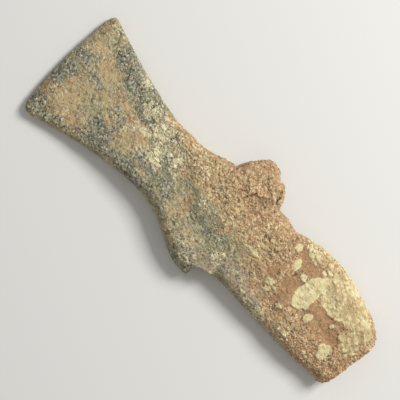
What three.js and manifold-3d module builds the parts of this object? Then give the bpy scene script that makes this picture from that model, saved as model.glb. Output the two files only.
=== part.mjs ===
// Lugged axe head cast in copper, lying on its flat face: a flared blade, a waist, a lug on each side and a
// tang for the haft. Burial soil has set hard over most of the tang and swallows one of the lugs.
import * as THREE from "three";
import { ImprovedNoise } from "three/addons/math/ImprovedNoise.js";
import { mergeVertices } from "three/addons/utils/BufferGeometryUtils.js";
import Module from "manifold-3d";

// Driving dimensions in millimetres. X runs from the butt to the cutting edge, Y across, Z up from the
// flat face.
const LENGTH = 185;
const WAIST_WIDTH = 33.2;
const LUG_SPAN = 56.4;
const TANG_WIDTH = 39;
const BODY_THICKNESS = 12.5;
const BUTT_THICKNESS = 9;
const BEVEL_THICKNESS = 4.6;
const EDGE_THICKNESS = 1.3;

// Places along the length, from the butt.
const LUG_BACK_X = 79.8;
const LUG_FRONT_X = 90;
const WAIST_X = 123;
const BLADE_LIFT_X = 132;
const BEVEL_LENGTH = 5;

// The blade leans a little to the crusted side, so each side has its own waist, flare and corner, and its
// own run to the lug.
const BARE_SIDE = { waistX: 122, corner: 27.8, radius: 5.2, flarePower: 1.7, lugX: 84, lugPower: 1.22 };
const CRUSTED_SIDE = { waistX: 126, corner: 30.1, radius: 3, flarePower: 1.38, lugX: 79.8, lugPower: 1.55 };

// Curves of the casting.
const EDGE_SAGITTA = 1.5;
const EDGE_LIFT = 1.7;
const BLADE_TAPER_POWER = 1.15;
const BEVEL_POWER = 1.3;
const SIDE_ROUND = 5.2;
const ROUND_TO_THICKNESS = 0.75;
const MIDDLE_SHARE = 0.46;
const CROWN = 0.07;
const TANG_BOW = { reach: 0.9, length: 62 };
const LUG_EASE = { start: 4, end: 24 };
const LUG_DROP = 2.6;
const LUG_UNDERCUT = 1.8;

// Soil crust: the line on the top face that it stops at, its depth, and its lumps.
const CRUST_DEPTH = 1.7;
const CRUST_FADE = 5;
const CRUST_FULL_X = 22;
const CRUST_HALF_X = 58;
const CRUST_FRONT_X = 138;
const CRUST_LINE_Y = 4;
const CRUST_WANDER = { reach: 3, length: 11 };
const LUMP_SIZE = 8.5;
const LUMP_HEIGHT = 0.95;
const GRAIN_SIZE = 3.9;
const GRAIN_HEIGHT = 0.5;

// The lumps of soil on the crusted lug, the bulges of soil beside the tang, and the worn corner of the butt.
const LUG_LUMPS = [
  { x: 86, front: 12.6, back: 10, reach: 34.4, roundness: 0.88 },
  { x: 78, front: 6, back: 6.6, reach: 30.5, roundness: 0.75 },
];
const LUMPS_FRONT_X = Math.max(...LUG_LUMPS.map((lump) => lump.x + lump.front));
const LUMPS_BACK_X = Math.min(...LUG_LUMPS.map((lump) => lump.x - lump.back));
const LUMP_REACH = Math.max(...LUG_LUMPS.map((lump) => lump.reach));
const LUMP_ROUGHNESS = 1.7;
const TANG_BULGES = [
  { x: 40, halfLength: 23, reach: 3.1 },
  { x: 69, halfLength: 12, reach: 2.4 },
];
const BULGE_POWER = 1.5;
const WORN_CORNER = { length: 24, depth: 8 };
const BUTT_CORNER_RADIUS = 1;
const BUTT_SLANT = { length: 16, depth: 4, peak: -0.55 };

// The notch behind the bare lug, in plan: its floor follows the tang, and a nick undercuts the lug.
const NOTCH = { floorY: 19.8, mouthY: 34, length: 9, runOut: 14.4, rise: 2.1, nick: 1.1, nickY: 23.2 };

// How finely the sections and the stations between them are spaced.
const SECTION_STEPS = 20;
const SIDE_CROWDING = 0.6;
const STATION_GAP = 2.35;
const FINE_GAP = 1.25;
const END_GAP = 0.25;
const END_LENGTH = 4;

const { clamp, lerp, smoothstep } = THREE.MathUtils;
const perlin = new ImprovedNoise();

// Plan of the casting

function bladeHalf(x, side) {
  const share = clamp((x - side.waistX) / (LENGTH - side.radius - side.waistX), 0, 1);
  const corner = roundedCorner(LENGTH - x, side.radius);
  return lerp(WAIST_WIDTH / 2, side.corner, share ** side.flarePower) - corner;
}

function lugHalf(x, side) {
  const share = clamp((side.waistX - x) / (side.waistX - side.lugX), 0, 1);
  return lerp(WAIST_WIDTH, LUG_SPAN, smoothstep(share ** side.lugPower, 0, 1)) / 2;
}

function tangHalf(x) {
  const share = clamp(x / TANG_BOW.length, 0, 1);
  return TANG_WIDTH / 2 + TANG_BOW.reach * Math.sin(Math.PI * share) - roundedCorner(x, BUTT_CORNER_RADIUS);
}

function roundedCorner(fromEnd, radius) {
  const inside = clamp(1 - fromEnd / radius, 0, 1);
  return radius * (1 - Math.sqrt(1 - inside * inside));
}

// Half width on the bare side. The lug runs on past its shoulder, where the notch is cut later.
function bareHalf(x) {
  if (x > BARE_SIDE.waistX) return bladeHalf(x, BARE_SIDE);
  const lugEnd = LUG_BACK_X - NOTCH.length / 2;
  const onLug = smoothstep(x, lugEnd - NOTCH.length / 2, lugEnd);
  return lerp(tangHalf(x), lugHalf(x, BARE_SIDE), onLug);
}

function soilBeside(x) {
  let reach = 0;
  for (const bulge of TANG_BULGES) {
    const share = clamp(1 - ((x - bulge.x) / bulge.halfLength) ** 2, 0, 1);
    reach = Math.max(reach, bulge.reach * share ** BULGE_POWER);
  }
  return reach;
}

// Half width on the crusted side, where soil stands out past the casting.
function crustedHalf(x) {
  if (x > CRUSTED_SIDE.waistX) return bladeHalf(x, CRUSTED_SIDE);
  if (x > LUMPS_FRONT_X) return lugHalf(x, CRUSTED_SIDE);
  const worn = clamp(1 - x / WORN_CORNER.length, 0, 1) ** 2;
  const tang = tangHalf(x) + soilBeside(x) - WORN_CORNER.depth * worn;
  let half = tang;
  for (const lump of LUG_LUMPS) {
    const fromPeak = x - lump.x;
    const share = fromPeak / (fromPeak > 0 ? lump.front : lump.back);
    const dome = clamp(1 - share * share, 0, 1) ** lump.roundness;
    half = Math.max(half, lerp(tang, lump.reach, dome));
  }
  return half;
}

// Thickness of the casting

function bladeShare(x) {
  return clamp((x - WAIST_X) / (LENGTH - BEVEL_LENGTH - WAIST_X), 0, 1);
}

function bevelShare(x) {
  return clamp((x - LENGTH + BEVEL_LENGTH) / BEVEL_LENGTH, 0, 1);
}

function undersideZ(x) {
  const lift = clamp((x - BLADE_LIFT_X) / (LENGTH - BLADE_LIFT_X), 0, 1);
  return EDGE_LIFT * lift ** 2;
}

function faceZ(x) {
  const tang = lerp(BUTT_THICKNESS, BODY_THICKNESS, smoothstep(x, 0, LUG_BACK_X));
  const blade = lerp(tang, BEVEL_THICKNESS + undersideZ(x), bladeShare(x) ** BLADE_TAPER_POWER);
  return lerp(blade, undersideZ(LENGTH) + EDGE_THICKNESS, bevelShare(x) ** BEVEL_POWER);
}

// Soil crust

// The crust covers the face on the crusted side of this line.
function crustLineY(x) {
  const alongWaist = lerp(CRUST_LINE_Y, -WAIST_WIDTH / 2, smoothstep(x, LUG_FRONT_X, CRUST_FRONT_X));
  const line = lerp(TANG_WIDTH / 2 + CRUST_FADE, alongWaist, smoothstep(x, CRUST_FULL_X, CRUST_HALF_X));
  return line + CRUST_WANDER.reach * perlin.noise(x / CRUST_WANDER.length, 0.5, 0.5);
}

function crustShare(x, y) {
  return x > CRUST_FRONT_X ? 0 : smoothstep(crustLineY(x) - y, -CRUST_FADE / 2, CRUST_FADE);
}

function crustRelief(x, y, z) {
  const lumps = perlin.noise(x / LUMP_SIZE, y / LUMP_SIZE, z / LUMP_SIZE);
  const grains = perlin.noise(x / GRAIN_SIZE + 40, y / GRAIN_SIZE, z / GRAIN_SIZE + 17);
  return LUMP_HEIGHT * lumps + GRAIN_HEIGHT * grains;
}

// Sections

// 1 on the flat middle of a section, falling as a quarter circle to 0 at its sides.
function sideRound(across, halfWidth, thickness) {
  const round = Math.min(SIDE_ROUND, thickness * ROUND_TO_THICKNESS) / halfWidth;
  const outside = clamp((Math.abs(across) - 1 + round) / round, 0, 1);
  return { fall: Math.sqrt(1 - outside * outside), outside };
}

// The butt slants back from a peak on its crusted side, and the cutting edge is a shallow arc.
function endShift(x, across) {
  const nearButt = clamp(1 - x / BUTT_SLANT.length, 0, 1);
  const nearEdge = clamp((x - WAIST_X) / (LENGTH - WAIST_X), 0, 1);
  const fromPeak = (across - BUTT_SLANT.peak) / (1 - BUTT_SLANT.peak);
  return BUTT_SLANT.depth * fromPeak ** 2 * nearButt - EDGE_SAGITTA * across ** 2 * nearEdge ** 2;
}

// How far out along a lug a point lies, from 0 beside the tang to 1 at the tip.
function lugShare(x, y) {
  const behindWaist = smoothstep(WAIST_X - x, LUG_EASE.start, LUG_EASE.end);
  const reach = y < 0 ? LUMP_REACH : LUG_SPAN / 2;
  return behindWaist * clamp((Math.abs(y) - TANG_WIDTH / 2) / (reach - TANG_WIDTH / 2), 0, 1);
}

// A point of the section at x: across runs from -1 on the crusted side to 1 on the bare side.
function sectionPoint(x, across, onTop) {
  const halfWidth = across < 0 ? crustedHalf(x) : bareHalf(x);
  const y = across * halfWidth;
  const outOnLug = lugShare(x, y);
  const low = undersideZ(x) + LUG_UNDERCUT * outOnLug ** 2;
  const high = faceZ(x) - LUG_DROP * outOnLug ** 2;
  const middle = lerp(low, high, MIDDLE_SHARE);
  const { fall, outside } = sideRound(across, halfWidth, high - low);
  const point = new THREE.Vector3(x + endShift(x, across), y, 0);
  if (onTop) point.z = middle + (high - middle) * fall * (1 - CROWN * across * across);
  else point.z = middle - (middle - low) * fall;
  const share = crustShare(x, y);
  const relief = share * crustRelief(point.x, point.y, point.z);
  if (across < 0) point.y -= outside * relief * lerp(1, LUMP_ROUGHNESS, outOnLug);
  if (onTop) point.z += fall * (share * CRUST_DEPTH + relief);
  return point;
}

// One closed ring of a section: over the top from the crusted side, and back along the underside.
function sectionRing(x) {
  const ring = [];
  for (let step = 0; step < 2 * SECTION_STEPS; step += 1) {
    const onTop = step <= SECTION_STEPS;
    const share = onTop ? step / SECTION_STEPS : 2 - step / SECTION_STEPS;
    const even = 2 * share - 1;
    const across = lerp(even, -Math.cos(Math.PI * share), SIDE_CROWDING);
    ring.push(sectionPoint(x, across, onTop));
  }
  return ring;
}

// Stations along the length, closer together at the lugs and at both ends.
function stations() {
  const places = [0];
  while (places.at(-1) < LENGTH) {
    const x = places.at(-1);
    const atLugs = x > LUMPS_BACK_X - FINE_GAP && x < LUMPS_FRONT_X;
    const fromEnd = Math.min(x, LENGTH - x);
    const along = atLugs ? FINE_GAP : STATION_GAP;
    const gap = fromEnd < END_LENGTH ? END_GAP * (1 + fromEnd) : along;
    places.push(Math.min(x + gap, LENGTH));
  }
  return places;
}

// A closed surface through rings of equal length, with each end closed by a strip from top to underside.
function loft(rings) {
  const count = rings[0].length;
  const corners = [];
  const quad = (a, b, c, d) => corners.push(a, b, c, a, c, d);
  for (let i = 0; i + 1 < rings.length; i += 1) {
    for (let j = 0; j < count; j += 1) {
      const k = (j + 1) % count;
      quad(rings[i][j], rings[i + 1][j], rings[i + 1][k], rings[i][k]);
    }
  }
  const closeEnd = (ring, flip) => {
    for (let j = 0; j < count / 2; j += 1) {
      const [a, b] = [ring[j], ring[j + 1]];
      const [c, d] = [ring[(count - j - 1) % count], ring[(count - j) % count]];
      if (flip) quad(a, b, c, d);
      else quad(d, c, b, a);
    }
  };
  closeEnd(rings[0], true);
  closeEnd(rings.at(-1), false);
  return new THREE.BufferGeometry().setFromPoints(corners);
}

// A prism in the notch's plan, as tall as the axe and a little more.
function notchPrism() {
  const { floorY, mouthY, length, runOut, rise, nick, nickY } = NOTCH;
  const plan = new THREE.Shape();
  plan.moveTo(LUG_BACK_X, mouthY);
  plan.lineTo(LUG_BACK_X - runOut, mouthY);
  plan.lineTo(LUG_BACK_X - runOut, floorY);
  plan.quadraticCurveTo(LUG_BACK_X - length / 2, floorY, LUG_BACK_X - nick, floorY + rise);
  plan.lineTo(LUG_BACK_X + nick, nickY);
  plan.lineTo(LUG_BACK_X, nickY + nick / 2);
  plan.closePath();
  const depth = 3 * BODY_THICKNESS;
  const prism = new THREE.ExtrudeGeometry(plan, { depth, bevelEnabled: false, curveSegments: 8 });
  return prism.translate(0, 0, -BODY_THICKNESS);
}

// Solids

const wasm = await Module();
wasm.setup();

function toSolid(geometry) {
  const bare = geometry.clone();
  for (const name of ["normal", "uv"]) bare.deleteAttribute(name);
  const merged = mergeVertices(bare, 1e-4);
  const vertProperties = new Float32Array(merged.getAttribute("position").array);
  const triVerts = new Uint32Array(merged.index.array);
  return new wasm.Manifold(new wasm.Mesh({ numProp: 3, vertProperties, triVerts }));
}

function toGeometry(solid) {
  const { vertProperties, triVerts } = solid.getMesh();
  const geometry = new THREE.BufferGeometry();
  geometry.setAttribute("position", new THREE.BufferAttribute(vertProperties, 3));
  geometry.setIndex(new THREE.BufferAttribute(triVerts, 1));
  return geometry;
}

// Sets the origin at the middle of the part's box, on the face that it lies on.
function standOnOrigin(geometry) {
  geometry.computeBoundingBox();
  const { min, max } = geometry.boundingBox;
  return geometry.translate(-(min.x + max.x) / 2, -(min.y + max.y) / 2, -min.z);
}

function axeHead() {
  const casting = toSolid(loft(stations().map(sectionRing)));
  const notched = casting.subtract(toSolid(notchPrism()));
  const geometry = standOnOrigin(toGeometry(notched));
  geometry.computeVertexNormals();
  const patina = new THREE.MeshStandardMaterial({ color: 0x9a825f, roughness: 0.9, metalness: 0.15 });
  const mesh = new THREE.Mesh(geometry, patina);
  mesh.name = "axe_head";
  return mesh;
}

const part = new THREE.Group();
part.add(axeHead());

export default part;
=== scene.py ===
import math

import bpy
import numpy as np
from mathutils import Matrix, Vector, noise


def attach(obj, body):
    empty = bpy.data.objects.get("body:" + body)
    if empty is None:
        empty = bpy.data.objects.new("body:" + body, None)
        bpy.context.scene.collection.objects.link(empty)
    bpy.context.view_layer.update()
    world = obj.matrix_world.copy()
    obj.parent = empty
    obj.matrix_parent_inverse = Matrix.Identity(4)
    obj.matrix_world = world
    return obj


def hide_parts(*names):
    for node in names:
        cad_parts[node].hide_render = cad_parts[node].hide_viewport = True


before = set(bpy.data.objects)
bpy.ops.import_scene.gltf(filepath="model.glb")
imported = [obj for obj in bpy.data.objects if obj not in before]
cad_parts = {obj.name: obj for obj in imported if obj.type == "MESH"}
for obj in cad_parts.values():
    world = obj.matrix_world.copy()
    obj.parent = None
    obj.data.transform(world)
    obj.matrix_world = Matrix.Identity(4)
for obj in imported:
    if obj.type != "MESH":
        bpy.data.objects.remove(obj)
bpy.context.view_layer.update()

MM = 0.001
NODE = "axe_head"
SLOT = "patinated_copper"

# Places on the axe are (x, y) in millimetres in the part's frame: x to the cutting edge, y to the bare lug.
# An oval patch is (x, y, length along x, width along y, turn in degrees).

# The soil crust lies on the side of this line away from the bare lug, and thins out over the edge width.
# Noise moves the line by up to the wander.
CRUST_LINE = [
    (-95, 28), (-75, 25), (-60, 22), (-45, 18), (-36, 13), (-28, 8), (-20, 5),
    (-8, 3.5), (0, 2), (8, 0.5), (16, -1.5), (23, -3.5), (30, -7), (38, -11.5), (46, -18), (52, -40),
]
CRUST_EDGE = 8
CRUST_WANDER = 4

# Pale yellow lime on the tang: the main cover near the butt, then the scattered patches.
LIME_PATCHES = [
    (-55.5, -0.5, 9.5, 16, 0), (-69.5, -9.5, 27, 16, 0), (-57, -6, 8, 8, 0),
    (-43.3, -6.5, 4, 6.5, 20), (-38.6, -11.8, 3, 3.6, 0), (-49.3, -5, 3, 3.4, 0),
    (-39.8, 7, 4.6, 4.4, 0), (-43.5, 7, 2.4, 2, 0), (-63, 6, 3.4, 4.4, 0), (-79, 11.5, 6, 7.5, 0),
    (-84, -6, 11, 9, -20), (-82, 1.5, 8, 5, 0), (-87, 3.5, 3, 4, 0), (-50.3, 11.5, 3.6, 2.6, 0),
    (-42, 10.5, 3.4, 2.4, 0), (-61, 18.5, 3.4, 1.8, 0), (-28.5, -6, 2, 1.6, 0), (-25, 3.2, 9, 1.8, 5),
    (-42.4, 3, 1.2, 1.8, 0), (-73.3, 1.6, 2, 1.8, 0), (-35, 18, 3, 1.6, 0),
]
# Lime that has grown as small nodules.
NODULE_PATCHES = [(-52, -16.5, 24, 10, -4), (-85, 0, 9, 14, 0), (-70, -20, 26, 7, 10)]

# Where each look of the surface lies.
PATCHES = {
    # dark grey patina where the soil film has come away, and on the last line narrow darker bands along the
    # blade's rims, painted shade on the +Y rim
    "dark": [
        (76, -17, 13, 6, -15), (70, -15, 9, 8, 0), (62, -11.5, 10, 8, 0), (52, -8, 9, 8, 0),
        (47, -4, 10, 5, 10), (66.5, -7, 2.6, 3.6, 0), (86, -5.5, 9, 5, 0), (82, -8.5, 5, 6, 0),
        (87.5, 5, 8, 8, 0), (88, 10, 6, 6, 0), (58, 3, 11, 7, 0), (57.5, 12, 9, 7, 0),
        (61.5, 10, 5, 9, 0), (55, 8, 3, 8, 0), (41, 15.5, 11, 7, 0), (33, 16.5, 18, 5, 0),
        (39, 8, 5, 5, 0), (33.5, -7, 5, 6, 0), (28, 2, 6, 8, 0), (19, 10, 9, 8, 0),
        (-6, 27.5, 15, 8, 0), (86, 25, 9, 9, 0), (75.5, -0.5, 9, 4, 0),
        # Narrow bands along the blade's rims: the two on the -Y rim darken that rim, the two on the +Y rim
        # are painted shade where that rim turns from the light
        (76, -22.5, 36, 4, -23), (50, -14.5, 24, 4, -11), (76, 24, 34, 4, 23), (50, 16.5, 24, 4, 12),
    ],
    # thin grey patina
    "grey": [
        (2, 10, 10, 9, 0), (-9, 13, 10, 8, 0), (-17, 14.5, 6, 6, 0), (-28.5, 15, 5, 5, 0), (4, 4, 7, 5, 0),
        (10, 17, 14, 6, 0), (24, 9, 10, 6, 0), (-3, 20, 10, 6, 0), (91, 0, 5, 56, 0),
    ],
    # smooth tan soil film on the blade
    "film": [
        (84, -15, 12, 16, 0), (88, -24, 6, 7, 0), (73, -7, 16, 9, 0), (64, 3, 16, 9, 0), (57, -2, 12, 5, 0),
        (48, 10, 10, 13, 0), (44, 2, 8, 7, 0), (51, -1, 14, 5, 0), (69, 13, 7, 12, 0), (70, 19, 12, 6, 0),
        (76, 11, 16, 18, 0), (58, 7, 7, 6, 0), (30, 13, 8, 4, 0), (12, 13, 7, 9, 0),
        (15, 8, 13, 9, 0), (-3, 17, 8, 6, 0),
    ],
    # orange-brown stains
    "ochre": [
        (84, 6.5, 5, 9, 0), (87.5, 15.5, 7, 8, 0), (82, 21.5, 10, 6, 0), (70, 19, 9, 4, 0),
        (8.5, 9.5, 5, 14, 0), (64, -4, 5, 3, 0), (44, 2.5, 5, 5, 0), (76, -10, 5, 4, 0),
        (88, -23, 4, 6, 0), (53, 1, 5, 3, 0),
    ],
    # clusters of cream grains
    "specks": [
        (47, -9.5, 10, 8, 0), (38, -8, 9, 11, 0), (34, 1, 8, 10, 0), (30, -8, 9, 9, 0), (24, -3, 11, 11, 0),
        (31.5, 6, 6, 5, 0), (45, 0.8, 4, 3, 0), (41, -3, 8, 6, 0), (21, -10, 12, 6, 0), (50, 3, 5, 5, 0),
        (-18, 15, 5, 5, 0), (-1.5, 21, 4, 4, 0), (-27, 15, 4, 4, 0), (5, 3, 6, 5, 0),
        (60, -16.5, 8, 3, -15), (83, -23, 5, 4, 0), (-6, 26, 5, 3, 0), (0, -5, 9, 6, 0), (13, -7, 9, 7, 0),
        (-45, 21, 12, 4, 0), (-61, 20, 10, 4, 0), (-75, 19, 8, 4, 0),
    ],
    # single larger cream grains
    "flake": [
        (45, 0.8, 3, 2.6, 0), (34.5, 2, 3.4, 2.4, 0), (31.5, 6, 3, 2.6, 0), (28, -8, 3, 3, 0),
        (24.5, -2, 3, 2.6, 0), (39, -8, 2.4, 2.4, 0), (47, -9.5, 2.4, 2, 0), (21, -10, 2.6, 2.4, 0),
        (36, -3, 2.4, 2.2, 0), (16, -9, 2.4, 2, 0), (41, -11, 2.4, 2, 0), (29, -1, 2.2, 2, 0),
    ],
    # grey-green patina
    "green": [
        (83.5, -21, 9, 9, 0), (59, -10, 13, 11, 0), (88, 4, 8, 9, 0), (18, 7, 30, 20, 0),
        (-8, 10, 30, 15, 0), (68, -18, 30, 7, -15), (46, 15, 20, 8, 0), (46, -11, 14, 6, 0),
        (84, 25, 14, 8, 0), (66, 9, 12, 12, 0),
    ],
    # purple-grey spots
    "purple": [(30.5, 9.7, 8, 3.4, -8), (39, 8, 5, 4, 0), (86.5, -5, 6, 4, 0), (-10, -12, 4, 5, 0)],
    # grey-lilac film on the flank of the tang, lightened to stand in for the fill light that the flank
    # misses: partly film, partly painted light
    "veil_and_painted_light": [(-50, 21, 80, 13, 0), (-30, 15, 20, 10, 0)],
    # rust-brown soil
    "rust": [
        (-76, 15, 34, 16, 0), (-87, 9, 9, 20, 0), (-39, 12, 9, 5, 0), (-14, -23, 8, 10, 0),
        (-86, -1, 4, 3, 0),
    ],
    # smooth brown soil between the lime patches
    "smooth": [
        (-43, -12, 9, 5, -10), (-52, -9.3, 15, 4.5, 6), (-48, 3, 9, 15, 0), (-67, 2.5, 18, 9, 10),
        (-76, 5, 10, 7, 0), (-37.5, 3, 5, 8, 0),
    ],
    # yellowish soil near the neck
    "pale": [
        (-7, -1, 22, 9, 0), (-21, 4, 18, 7, 5), (2, -5, 14, 11, 0), (11, -9, 16, 11, 0),
        (-29, -1, 10, 7, 0), (20, -9, 14, 9, 0), (-62, 14, 12, 6, 0),
    ],
    # soil in coarse clods
    "rough": [(-8, -22, 28, 16, 0), (12, -11, 22, 10, -20), (-27, -20, 16, 8, 0), (-85, 12, 10, 18, 0)],
    # lime worn thin
    "broken": [(-72, -9, 22, 14, 0), (-85, -2, 16, 22, 0), (-56, -17, 16, 8, 0)],
}
# Cracks and a cut as (start, end, width, depth).
CRACKS = [
    ((-81.6, 8.2), (-80.4, 13.8), 0.35, 0.5),
    ((-9.2, -15.2), (-6.8, -10.4), 0.45, 0.6),
    ((-46.4, -3.2), (-44.8, -1.8), 0.5, 0.6),
    ((82.6, -25.5), (80.4, -17.5), 0.5, 0.4),
    ((-17, -25), (-17.6, -19), 0.5, 0.6),
]
# Soft creases around the lump of soil, given the same way.
CREASES = [
    ((-22.6, -19.2), (-14, -16.7), 2.4, 0.9),
    ((-14, -16.7), (-10.5, -10.7), 2.0, 0.7),
    ((2, -17), (6, -14), 2.0, 0.5),
]
# Share of a crack's width that has its full depth.
CRACK_BED = 0.3

# Fineness of the detailed mesh, how far its facets are smoothed away, and the triangles it may have.
VOXEL = 0.41
SMOOTH_ROUNDS = 2
TRIANGLE_LIMIT = 190000
# Faces that point further down than this belong to the flat underside.
UNDERSIDE_SLOPE = -0.8

# Noises that shape the surface, as (size in millimetres, seed).
WANDER = (5.0, 1)
DRIFT = (2.2, 2)
RIPPLE = (1.0, 3)
UNDER_CRUST = (18, 5)
CLODS = (3.0, 6)
GRAINS = (1.05, 7)
LUMPS = (5.0, 8)
COARSE = (2.1, 9)
FINE = (1.0, 10)
PORES = (1.7, 11)
PITS = (1.3, 12)
FOLDS = (4.5, 13)
CRUST_RIM = (9, 14)
GRITTY = (6, 15)
SEED_STEP = 17.3
# A grain has its full height where the next grain is further away by this much of a grain's size.
DOME = 0.6

# How far the first three noises shift the rims of patches, the rims of lime, and the grains.
RIM_SHIFTS = (1.4, 0.9, 0.5)
LIME_SHIFTS = (1.2, 0.5, 0.35)
GRAIN_SHIFTS = (0, 0.8, 0.3)

# The underside doesn't show in the photograph, so noise lays out these looks and the crust there.
UNDERSIDE_LOOKS = ("dark", "film", "green", "ochre", "specks")
UNDERSIDE_PATCH = 10
UNDERSIDE_SEED = 20
UNDERSIDE_STRENGTH = 0.7
# The crust there fades with each millimetre towards the cutting edge, counted from this x.
UNDER_CRUST_FADE = 0.009
UNDER_CRUST_MIDDLE = -50

# Values between which each of these goes from nothing to all.
LIMITS = {
    "top": (-0.2, 0.3), "below": (0.5, 0.9), "hidden": (0.0, 0.5), "under_crust": (-0.05, 0.35),
    "folds": (0, 0.14), "pores": (0.42, 0.6), "pits": (0.3, 0.55), "gritty": (-0.25, 0.25),
    "nodules": (0.4, 0.55), "lime": (0.44, 0.56), "clods": (0.3, 0.5),
    "smooth": (0.4, 0.6), "specks": (0.3, 0.7), "rough": (0.2, 0.6), "flake": (0.25, 0.5),
}
# Strength of the grit on the soil: the least, and the rest that noise adds in places.
GRIT_LEAST = 0.35
GRIT_REST = 0.9
# Heights of grains and folds are counted from these middles.
GRAIN_MIDDLE = 0.6
FOLD_MIDDLE = 0.2

# Heights in millimetres that each shape adds to a surface; "rise" lifts all of it.
HEIGHTS = {
    "soil": {"coarse": 0.16, "fine": 0.25, "clods": 0.12, "grit": 0.5, "pores": -0.35, "folds": 0.35},
    "rough": {"coarse": 0.3, "clods": 0.35},
    "lime": {"rise": 0.4, "coarse": 0.14, "fine": 0.12, "grains": 0.25, "folds": 0.3},
    "nodules": {"rise": -0.09, "clods": 0.9},
    "metal": {"coarse": 0.12, "fine": 0.16, "grains": 0.2},
    "specks": {"rise": 0.035, "coarse": 0.2, "grains": 0.35},
}
# Pits in the metal, shallow everywhere and deeper in dark patina, and the height of single cream grains.
PIT_DEPTH = 0.3
PITS_EVERYWHERE = 0.3
FLAKE_HEIGHT = 0.35
# Smooth soil lies lower, and has this share of its relief taken off; so has the underside.
SMOOTH_SINK = 0.2
SMOOTH_CALM = 0.6
UNDERSIDE_CALM = 0.6
# Heights of the broad swelling, in all places and more on the crust and the clods.
SWELL = 0.1
CRUST_SWELL = 0.3
ROUGH_SWELL = 0.4
# Heights of the crumbling sides of the crust, from the drift and the ripple, and how far they stand back.
CRUMBLE_DRIFT = 1.5
CRUMBLE_RIPPLE = 1.4
CRUMBLE_SINK = 0.5

# Camera: straight down, turned so that the axe lies across the picture as in the photograph.
PICTURE_CENTRE = (6.17, 3.62)
PICTURE_WIDTH = 175.6
OUTLINE_HEIGHT = 5
CAMERA_TURN = -134.7
LENS = 120
SENSOR = 36

# Floor and light, in metres and watts; the floor lies a hair below the axe, in millimetres.
FLOOR_REACH = 6.0
FLOOR_DROP = 0.05
FLOOR_ROUGHNESS = 0.9
KEY_DIRECTION = (-0.3, -0.8, 0.8)
KEY_DISTANCE = 1.0
KEY_SIZE = 0.35
KEY_POWER = 9.4
WHITE = (1, 1, 1, 1)
SKY_STRENGTH = 0.38


def smooth_share(value, low, high):
    """0 below low, 1 above high, and an even curve between them."""
    share = np.clip((value - low) / (high - low), 0, 1)
    return share * share * (3 - 2 * share)


def limited(name, value):
    """0 to 1 as the value crosses the limits of that name."""
    return smooth_share(value, *LIMITS[name])


def noise_field(points, size, seed):
    """Smooth noise from about -1 to 1, with lumps of about that size in millimetres."""
    places = points / size + seed * SEED_STEP
    return np.array([noise.noise(place) for place in places.tolist()])


def drift_field(points, size, seed):
    """Three noises side by side, to shift points by."""
    return np.stack([noise_field(points, size, seed + step / 3) for step in range(3)], 1)


def grain_field(points, size, seed):
    """Round grains of about that size: 1 on top, falling steeply to 0 in the creases between grains."""
    places = points / size + seed * SEED_STEP
    nearest = np.array([noise.voronoi(place)[0][:2] for place in places.tolist()])
    return np.sqrt(np.clip((nearest[:, 1] - nearest[:, 0]) / DOME, 0, 1))


def patch_field(places, patches):
    """1 at the middle of any patch, 0.5 on its rim, falling to 0 outside."""
    field = np.zeros(len(places))
    for x, y, length, width, turn in patches:
        cos, sin = math.cos(math.radians(turn)), math.sin(math.radians(turn))
        along = (places[:, 0] - x) * cos + (places[:, 1] - y) * sin
        across = (places[:, 1] - y) * cos - (places[:, 0] - x) * sin
        distance = np.hypot(along / length, across / width)
        field = np.maximum(field, np.clip(1 - distance, 0, 1))
    return field


def crack_field(places, cracks):
    """Depth of the cracks at each place, in millimetres."""
    depth = np.zeros(len(places))
    for start, end, width, deep in cracks:
        start, end = np.array(start), np.array(end)
        run = end - start
        share = np.clip((places - start) @ run / (run @ run), 0, 1)
        gap = np.linalg.norm(places - start - share[:, None] * run, axis=1)
        depth = np.maximum(depth, deep * (1 - smooth_share(gap, CRACK_BED * width, width)))
    return depth


def fine_copy(node):
    """A finely meshed copy of the CAD node."""
    piece = bpy.data.objects.new("axe_head_surface", node.data.copy())
    bpy.context.scene.collection.objects.link(piece)
    remesh = piece.modifiers.new("fine", "REMESH")
    remesh.mode = "VOXEL"
    remesh.voxel_size = VOXEL * MM
    smooth = piece.modifiers.new("even", "SMOOTH")
    smooth.iterations = SMOOTH_ROUNDS
    apply_modifiers(piece)
    return piece


def thin_underside(piece):
    """Takes triangles out of the flat underside until the whole piece is within its limit."""
    faces_down = read_vectors(piece.data, "normal")[:, 2] < UNDERSIDE_SLOPE
    underside = piece.vertex_groups.new(name="underside")
    underside.add(np.flatnonzero(faces_down).tolist(), 1.0, "REPLACE")
    thin = piece.modifiers.new("thin", "DECIMATE")
    thin.vertex_group = underside.name
    thin.ratio = TRIANGLE_LIMIT / sum(len(face.vertices) - 2 for face in piece.data.polygons)
    apply_modifiers(piece)
    piece.vertex_groups.clear()


def apply_modifiers(piece):
    bpy.context.view_layer.update()
    shaped = piece.evaluated_get(bpy.context.evaluated_depsgraph_get())
    piece.data = bpy.data.meshes.new_from_object(shaped)
    piece.modifiers.clear()


def read_vectors(mesh, name):
    values = np.zeros(len(mesh.vertices) * 3, np.float32)
    mesh.vertices.foreach_get(name, values)
    return values.reshape(-1, 3).astype(float)


def store(mesh, name, values):
    attribute = mesh.attributes.new(name, "FLOAT", "POINT")
    attribute.data.foreach_set("value", values.astype(np.float32))


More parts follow.
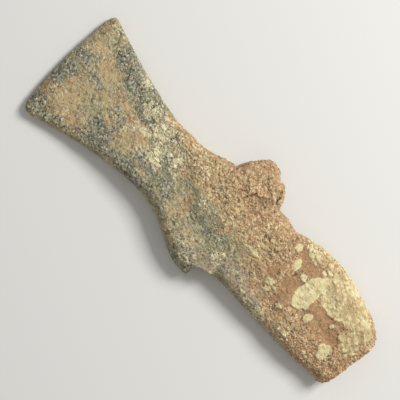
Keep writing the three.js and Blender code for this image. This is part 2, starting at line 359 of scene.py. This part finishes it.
def weather(piece):
    """Gives the piece its relief, and keeps what lies where as named fields for the material."""
    mesh = piece.data
    points = read_vectors(mesh, "co") / MM
    normals = read_vectors(mesh, "normal")
    on_top = limited("top", normals[:, 2])
    below = limited("below", -normals[:, 2])

    # Rims of patches wander, and grains are never quite round
    wander, drift, ripple = (drift_field(points, *source) for source in (WANDER, DRIFT, RIPPLE))

    def shifted(by_wander, by_drift, by_ripple):
        return points + by_wander * wander + by_drift * drift + by_ripple * ripple

    places = shifted(*RIM_SHIFTS)[:, :2]
    lime_places = shifted(*LIME_SHIFTS)[:, :2]
    bent = shifted(*GRAIN_SHIFTS)

    fields = {name: patch_field(places, patches) * on_top for name, patches in PATCHES.items()}
    for step, name in enumerate(UNDERSIDE_LOOKS):
        hidden = limited("hidden", noise_field(points, UNDERSIDE_PATCH, UNDERSIDE_SEED + step))
        fields[name] += UNDERSIDE_STRENGTH * hidden * (1 - on_top)
    line = np.interp(places[:, 0], *zip(*CRUST_LINE)) + CRUST_WANDER * noise_field(points, *CRUST_RIM)
    crust = smooth_share(line - places[:, 1], -CRUST_EDGE, CRUST_EDGE)
    fading = UNDER_CRUST_FADE * (points[:, 0] - UNDER_CRUST_MIDDLE)
    under_crust = limited("under_crust", noise_field(points, *UNDER_CRUST) - fading)
    crust = crust * on_top + under_crust * (1 - on_top)

    # Shapes that the relief is added up from
    clods = grain_field(bent, *CLODS)
    grains = grain_field(bent, *GRAINS) - GRAIN_MIDDLE
    folds = 1 - limited("folds", np.abs(noise_field(bent, *FOLDS)))
    gritty = GRIT_LEAST + GRIT_REST * limited("gritty", noise_field(points, *GRITTY))
    shapes = {
        "rise": 1,
        "clods": clods - GRAIN_MIDDLE,
        "grains": grains,
        "grit": gritty * grains,
        "folds": folds - FOLD_MIDDLE,
        "coarse": noise_field(points, *COARSE),
        "fine": noise_field(points, *FINE),
        "pores": limited("pores", noise_field(points, *PORES)),
    }
    pits = limited("pits", noise_field(points, *PITS))
    cracks = crack_field(places, CRACKS) * on_top
    creases = crack_field(places, CREASES) * on_top

    nodules = limited("nodules", patch_field(places, NODULE_PATCHES)) * on_top
    lime = limited("lime", patch_field(lime_places, LIME_PATCHES)) * on_top
    lime = np.maximum(lime, nodules * limited("clods", clods))
    smooth = limited("smooth", fields["smooth"])
    specks = limited("specks", fields["specks"])
    rough = limited("rough", fields.pop("rough"))

    def raised(surface):
        return sum(height * shapes[name] for name, height in HEIGHTS[surface].items())

    soil = raised("soil") + rough * raised("rough")
    soil = soil * (1 - SMOOTH_CALM * smooth) - SMOOTH_SINK * smooth
    chalk = raised("lime") + nodules * raised("nodules")
    metal = raised("metal") + specks * raised("specks")
    metal -= PIT_DEPTH * pits * (PITS_EVERYWHERE + fields["dark"])
    metal += FLAKE_HEIGHT * limited("flake", fields["flake"])
    relief = (1 - crust) * metal + crust * (soil * (1 - lime) + chalk * lime) - cracks - creases
    swell = (SWELL + CRUST_SWELL * crust + ROUGH_SWELL * rough) * noise_field(points, *LUMPS)
    crumble = CRUMBLE_DRIFT * drift[:, 0] + CRUMBLE_RIPPLE * ripple[:, 1] - CRUMBLE_SINK
    jagged = crust * (1 - on_top) * crumble

    calm = 1 - UNDERSIDE_CALM * below
    points += normals * ((relief + swell + jagged) * calm)[:, None]
    points[:, 2] = np.maximum(points[:, 2], 0)
    mesh.vertices.foreach_set("co", (points * MM).astype(np.float32).ravel())
    mesh.update()
    fields.update(crust=crust, lime=lime, relief=relief, gap=cracks)
    for name, values in fields.items():
        store(mesh, name, values)


def linear(red, green, blue):
    """A colour given as 0 to 255 in sRGB, as the shader's linear values."""
    def one(value):
        share = value / 255
        return share / 12.92 if share <= 0.04045 else ((share + 0.055) / 1.055) ** 2.4
    return (one(red), one(green), one(blue), 1)


# Colours of the patina and of the film on it
OLIVE = linear(149, 147, 124)
YELLOW_OLIVE = linear(184, 166, 122)
TAN = linear(191, 168, 126)
# Lilac film, made light enough to stand in for fill light on the tang's flank: partly painted light
LILAC_AND_PAINTED_LIGHT = linear(174, 154, 128)
GREEN_GREY = linear(144, 148, 123)
MOSS = linear(126, 131, 88)
OCHRE = linear(184, 140, 96)
PURPLE = linear(140, 128, 123)
SLATE = linear(104, 107, 100)
SHADOW = linear(76, 76, 70)
CREAM = linear(222, 211, 171)
SPARKLE = linear(204, 203, 188)
PIT = linear(62, 58, 50)
# Colours of the soil
BROWN = linear(187, 149, 110)
SAND = linear(205, 176, 133)
YELLOW_SAND = linear(190, 166, 123)
SMOOTH_BROWN = linear(169, 132, 96)
RUST = linear(158, 110, 70)
PORE = linear(98, 72, 52)
PALE_GRAIN = linear(218, 198, 158)
# Colours of the lime, of the painted shade in the cracks and of the floor
LIME = linear(216, 201, 153)
LIME_PALE = linear(232, 223, 184)
LIME_STAIN = linear(178, 150, 106)
CRACK_SHADE = linear(52, 40, 31)
FLOOR_PALE = linear(226, 224, 219)

# Sizes of the grains and noises that the material draws, in millimetres
DUST_SIZE = 0.55
GRIT_SIZE = 0.85
CRUMB_SIZE = 1.2
SPECKLE_SIZE = 0.7
GRAVEL_SIZE = 1.5
BLOTCH_SIZE = 2.2
PATCH_SIZE = 5.0
CLOUD_SIZE = 12
# How far grains are bent out of shape, in parts of their size
GRAIN_BEND = 0.9
# How sharply a grain takes a tint or leaves it
TINT_EDGE = 0.1

# Share of the grains that take each look: away from its patches, and inside them
SHARES = {
    "film": (0.25, 1.0), "veil_and_painted_light": (0.0, 0.8), "green": (0.1, 0.7), "ochre": (0.04, 0.8),
    "purple": (0.0, 1.0), "dark": (0.1, 0.7), "grey": (0.0, 0.2), "specks": (0.05, 0.6),
    "pale": (0.05, 0.7), "rust": (0.08, 0.5), "smooth": (0.0, 0.9), "broken": (0.0, 0.45),
}
# Values of a patch's field over which its look sets in, for most looks and for two with rims of their own
RIM = (0.2, 0.75)
OWN_RIMS = {"purple": (0.35, 0.6), "broken": (0.0, 0.9)}
# Shares of dark pits in the metal, dark pores in the soil and pale grains in the lime
PIT_SHARE = 0.035
PORE_SHARE = 0.07
PALE_LIME_SHARE = 0.2
# Tones of grains lie at least this far apart
LEAST_SPREAD = 0.3
# Strength of reflections, and depth of the finest bumps in millimetres
SHEEN = 0.3
BUMP_DEPTH = 0.5
# Numbers of the sockets of a Mix node that hold colours
MIX_FIRST, MIX_SECOND, MIX_RESULT = 6, 7, 2


class Graph:
    """A material's nodes, made by calls that return sockets; terms are sockets kept by name."""

    def __init__(self, name):
        self.material = bpy.data.materials.new(name)
        self.material.use_nodes = True
        self.tree = self.material.node_tree
        self.shader = self.tree.nodes["Principled BSDF"]
        self.place = self.tree.nodes.new("ShaderNodeTexCoord").outputs["Object"]
        self.terms = {}

    def feed(self, socket, value):
        if isinstance(value, bpy.types.NodeSocket):
            self.tree.links.new(value, socket)
        else:
            socket.default_value = value

    def field(self, name):
        node = self.tree.nodes.new("ShaderNodeAttribute")
        node.attribute_name = name
        return node.outputs["Fac"]

    def noise_node(self, size, detail, roughness):
        node = self.tree.nodes.new("ShaderNodeTexNoise")
        self.feed(node.inputs["Vector"], self.place)
        node.inputs["Scale"].default_value = 1 / (size * MM)
        node.inputs["Detail"].default_value = detail
        node.inputs["Roughness"].default_value = roughness
        return node

    def noise(self, size, detail=2.0, roughness=0.6):
        """Noise about zero, from about -0.5 to 0.5."""
        return self.math("SUBTRACT", self.noise_node(size, detail, roughness).outputs["Fac"], 0.5)

    def grains(self, size):
        """Three draws from 0 to 1 for each grain of that size, and its height."""
        bend = self.tree.nodes.new("ShaderNodeVectorMath")
        bend.operation = "MULTIPLY_ADD"
        self.feed(bend.inputs[0], self.noise_node(size, detail=1.0, roughness=0.5).outputs["Color"])
        bend.inputs[1].default_value = (GRAIN_BEND * size * MM,) * 3
        self.feed(bend.inputs[2], self.place)
        node = self.tree.nodes.new("ShaderNodeTexVoronoi")
        self.feed(node.inputs["Vector"], bend.outputs[0])
        node.inputs["Scale"].default_value = 1 / (size * MM)
        parts = self.tree.nodes.new("ShaderNodeSeparateColor")
        self.feed(parts.inputs[0], node.outputs["Color"])
        draws = [parts.outputs[name] for name in ("Red", "Green", "Blue")]
        return draws, self.math("SUBTRACT", 1.0, node.outputs["Distance"])

    def math(self, operation, first, second):
        node = self.tree.nodes.new("ShaderNodeMath")
        node.operation = operation
        self.feed(node.inputs[0], first)
        self.feed(node.inputs[1], second)
        return node.outputs[0]

    def total(self, start=0.0, **weights):
        """The start value plus each named term times its weight."""
        result = start
        for name, weight in weights.items():
            result = self.math("ADD", self.math("MULTIPLY", self.terms[name], weight), result)
        return result

    def span(self, value, low, high, least=0.0, most=1.0):
        """The least up to low, the most from high on, and an even curve between them."""
        node = self.tree.nodes.new("ShaderNodeMapRange")
        node.interpolation_type = "SMOOTHSTEP"
        self.feed(node.inputs["Value"], value)
        node.inputs["From Min"].default_value = low
        node.inputs["From Max"].default_value = high
        node.inputs["To Min"].default_value = least
        node.inputs["To Max"].default_value = most
        return node.outputs["Result"]

    def mix(self, share, first, second):
        node = self.tree.nodes.new("ShaderNodeMix")
        node.data_type = "RGBA"
        self.feed(node.inputs[0], share)
        self.feed(node.inputs[MIX_FIRST], first)
        self.feed(node.inputs[MIX_SECOND], second)
        return node.outputs[MIX_RESULT]

    def scatter(self, base, colour, share, draw, strength):
        """Colours that share of the grains, each grain by its own draw."""
        lead = self.math("SUBTRACT", share, draw)
        return self.mix(self.span(lead, -TINT_EDGE, TINT_EDGE, most=strength), base, colour)

    def brighten(self, colour, value):
        node = self.tree.nodes.new("ShaderNodeHueSaturation")
        self.feed(node.inputs["Value"], value)
        self.feed(node.inputs["Color"], colour)
        return node.outputs["Color"]


def gather_terms(graph):
    """Keeps the noises, the surface's fields and the shares of looks that the colours depend on."""
    terms = graph.terms
    terms["speckle"] = graph.noise(SPECKLE_SIZE)
    terms["blotch"] = graph.noise(BLOTCH_SIZE, detail=3)
    terms["patch"] = graph.noise(PATCH_SIZE)
    terms["cloud"] = graph.noise(CLOUD_SIZE)
    for name in ("relief", "crust", "lime", "flake", "gap"):
        terms[name] = graph.field(name)
    for name, (least, most) in SHARES.items():
        low, high = OWN_RIMS.get(name, RIM)
        terms["here"] = graph.field(name)
        terms[name] = graph.span(graph.total(here=1.0, blotch=0.5, patch=0.3), low, high, least, most)


def metal_colour(graph, dust, grit, crumbs):
    """Olive patina under tan film, with grains of slate, cream and other tints."""
    terms = graph.terms
    yellowing = graph.span(graph.total(patch=1.0, cloud=0.7), low=-0.15, high=0.15)
    colour = graph.mix(yellowing, OLIVE, YELLOW_OLIVE)
    colour = graph.mix(terms["film"], colour, TAN)
    # Lilac film over the tang's flank, partly painted light that lifts the shaded flank
    colour = graph.mix(terms["veil_and_painted_light"], colour, LILAC_AND_PAINTED_LIGHT)
    colour = graph.scatter(colour, GREEN_GREY, terms["green"], crumbs[1], strength=0.5)
    colour = graph.scatter(colour, OCHRE, terms["ochre"], dust[1], strength=0.55)
    clouds = graph.total(blotch=0.7, patch=0.7)
    colour = graph.mix(graph.span(clouds, low=0.0, high=0.2, most=0.55), colour, SLATE)
    colour = graph.mix(graph.span(clouds, low=-0.08, high=-0.25, most=0.2), colour, OCHRE)
    colour = graph.scatter(colour, PURPLE, terms["purple"], crumbs[2], strength=0.7)
    terms["slate"] = graph.total(0.08, dark=1.0, grey=1.0, film=-0.5)
    colour = graph.scatter(colour, SLATE, terms["slate"], dust[2], strength=0.8)
    colour = graph.scatter(colour, SHADOW, graph.total(slate=0.3), grit[1], strength=0.65)
    colour = graph.scatter(colour, MOSS, graph.total(green=0.3), grit[2], strength=0.6)
    colour = graph.scatter(colour, SPARKLE, graph.total(dark=0.22), grit[0], strength=0.6)
    colour = graph.scatter(colour, PIT, PIT_SHARE, crumbs[1], strength=1.0)
    colour = graph.scatter(colour, CREAM, graph.total(specks=0.6), dust[1], strength=0.7)
    colour = graph.scatter(colour, CREAM, graph.total(specks=0.8), crumbs[2], strength=0.8)
    flake = graph.total(flake=1.0, speckle=0.4)
    return graph.mix(graph.span(flake, low=0.25, high=0.45, most=0.85), colour, CREAM)


def soil_colour(graph, dust, grit):
    """Brown to sandy soil, with rusty, pale and dark grains."""
    terms = graph.terms
    sandy = graph.span(graph.total(patch=1.0, blotch=0.6), low=-0.2, high=0.2)
    colour = graph.mix(sandy, BROWN, SAND)
    colour = graph.mix(terms["pale"], colour, YELLOW_SAND)
    colour = graph.scatter(colour, RUST, terms["rust"], dust[1], strength=0.5)
    pale_grains = graph.total(0.12, specks=0.5, pale=0.1)
    colour = graph.scatter(colour, PALE_GRAIN, pale_grains, grit[2], strength=0.8)
    colour = graph.scatter(colour, PORE, PORE_SHARE, grit[0], strength=0.7)
    return graph.mix(terms["smooth"], colour, SMOOTH_BROWN)


def lime_colour(graph, crumbs):
    """Pale lime, stained in blotches and where it is worn."""
    stain = graph.span(graph.total(blotch=1.0, speckle=0.6, broken=0.8), low=0.05, high=0.4, most=0.8)
    colour = graph.mix(stain, LIME, LIME_STAIN)
    return graph.scatter(colour, LIME_PALE, PALE_LIME_SHARE, crumbs[2], strength=0.5)


def patina_material():
    graph = Graph(SLOT)
    terms = graph.terms
    gather_terms(graph)
    dust, terms["dust_height"] = graph.grains(DUST_SIZE)
    grit, terms["grit_height"] = graph.grains(GRIT_SIZE)
    crumbs, terms["crumb_height"] = graph.grains(CRUMB_SIZE)

    # Hard soil on the metal, thinning out grain by grain
    metal = metal_colour(graph, dust, grit, crumbs)
    soil = soil_colour(graph, dust, grit)
    crust = graph.total(crust=1.0, blotch=0.6, patch=0.5)
    colour = graph.mix(graph.span(crust, low=0.0, high=1.0, most=0.6), metal, soil)
    colour = graph.scatter(colour, soil, graph.span(crust, low=0.1, high=1.0), crumbs[1], strength=1.0)

    # Lime on the soil, worn through in places
    cover = graph.total(lime=1.0, speckle=0.7, blotch=0.6, broken=-0.4)
    terms["cover"] = graph.span(cover, low=0.3, high=0.65)
    colour = graph.mix(terms["cover"], colour, lime_colour(graph, crumbs))

    # Tones of grains lie further apart on the soil, and closer together on the lime
    spread = graph.total(
        0.85, crust=0.3, cover=-0.7, smooth=-0.7, film=-0.3, dark=0.2, specks=0.4, blotch=1.4, patch=1.8,
    )
    spread = graph.math("MAXIMUM", spread, LEAST_SPREAD)

    # Each grain is a little lighter or darker, and grains are finer in some places than in others
    terms["coarser"] = graph.span(graph.total(patch=1.0, cloud=1.0), low=-0.1, high=0.15)
    terms["grain"] = graph.total(dust[0], coarser=graph.math("SUBTRACT", grit[1], dust[0]))
    terms["crumb"] = crumbs[0]
    # The relief term paints raised grains and lime lighter and hollows, cracks and creases darker: painted
    # light and painted shade
    terms["light"] = graph.total(
        -0.37, grain=0.7, crumb=0.1, speckle=0.8, blotch=0.15, patch=0.25, cloud=0.3, relief=0.25,
    )
    colour = graph.brighten(colour, graph.total(1.0, light=spread))
    # Cracks are darkened almost to black: painted shade in the cracks
    colour = graph.mix(graph.span(terms["gap"], low=0.1, high=0.5, most=0.8), colour, CRACK_SHADE)
    graph.feed(graph.shader.inputs["Base Color"], colour)

    # Dull and finely bumped all over
    dullness = graph.span(terms["blotch"], low=-0.2, high=0.2, least=0.82, most=0.98)
    graph.feed(graph.shader.inputs["Roughness"], dullness)
    graph.shader.inputs["Specular IOR Level"].default_value = SHEEN
    terms["sand"] = graph.noise(SPECKLE_SIZE, detail=3)
    terms["gravel"] = graph.noise(GRAVEL_SIZE, detail=1)
    height = graph.total(sand=1.0, gravel=0.8, dust_height=0.5, grit_height=0.6, crumb_height=0.5)
    bump = graph.tree.nodes.new("ShaderNodeBump")
    bump.inputs["Strength"].default_value = 1.0
    bump.inputs["Distance"].default_value = BUMP_DEPTH * MM
    graph.feed(bump.inputs["Height"], graph.math("MULTIPLY", height, spread))
    graph.feed(graph.shader.inputs["Normal"], bump.outputs["Normal"])
    return graph.material


def plain_material(name, colour, roughness):
    material = bpy.data.materials.new(name)
    material.use_nodes = True
    shader = material.node_tree.nodes["Principled BSDF"]
    shader.inputs["Base Color"].default_value = colour
    shader.inputs["Roughness"].default_value = roughness
    return material


def floor():
    side = FLOOR_REACH
    mesh = bpy.data.meshes.new("floor")
    corners = [(-side, -side, 0), (side, -side, 0), (side, side, 0), (-side, side, 0)]
    mesh.from_pydata(corners, [], [(0, 1, 2, 3)])
    plane = bpy.data.objects.new("floor", mesh)
    plane.location.z = -FLOOR_DROP * MM
    bpy.context.scene.collection.objects.link(plane)
    mesh.materials.append(plain_material("floor_pale", FLOOR_PALE, FLOOR_ROUGHNESS))


def key_light():
    """A square light that faces the axe."""
    lamp = bpy.data.lights.new("key", "AREA")
    lamp.energy = KEY_POWER
    lamp.size = KEY_SIZE
    light = bpy.data.objects.new("key", lamp)
    direction = Vector(KEY_DIRECTION).normalized()
    light.location = direction * KEY_DISTANCE
    light.rotation_euler = direction.to_track_quat("Z", "Y").to_euler()
    bpy.context.scene.collection.objects.link(light)


def sky():
    """Even light from all around."""
    world = bpy.data.worlds.new("studio")
    world.use_nodes = True
    background = world.node_tree.nodes["Background"]
    background.inputs["Color"].default_value = WHITE
    background.inputs["Strength"].default_value = SKY_STRENGTH
    bpy.context.scene.world = world


def camera():
    lens = bpy.data.cameras.new("camera")
    lens.lens = LENS
    lens.sensor_width = SENSOR
    view = bpy.data.objects.new("camera", lens)
    distance = PICTURE_WIDTH * LENS / SENSOR
    view.location = (PICTURE_CENTRE[0] * MM, PICTURE_CENTRE[1] * MM, (distance + OUTLINE_HEIGHT) * MM)
    view.rotation_euler = (0, 0, math.radians(CAMERA_TURN))
    bpy.context.scene.collection.objects.link(view)
    bpy.context.scene.camera = view


bpy.context.scene.view_settings.view_transform = "Standard"
camera()
key_light()
sky()
floor()
axe = fine_copy(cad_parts[NODE])
thin_underside(axe)
weather(axe)
axe.data.materials.clear()
axe.data.materials.append(patina_material())
for face in axe.data.polygons:
    face.use_smooth = True
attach(axe, "root")
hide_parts(NODE)
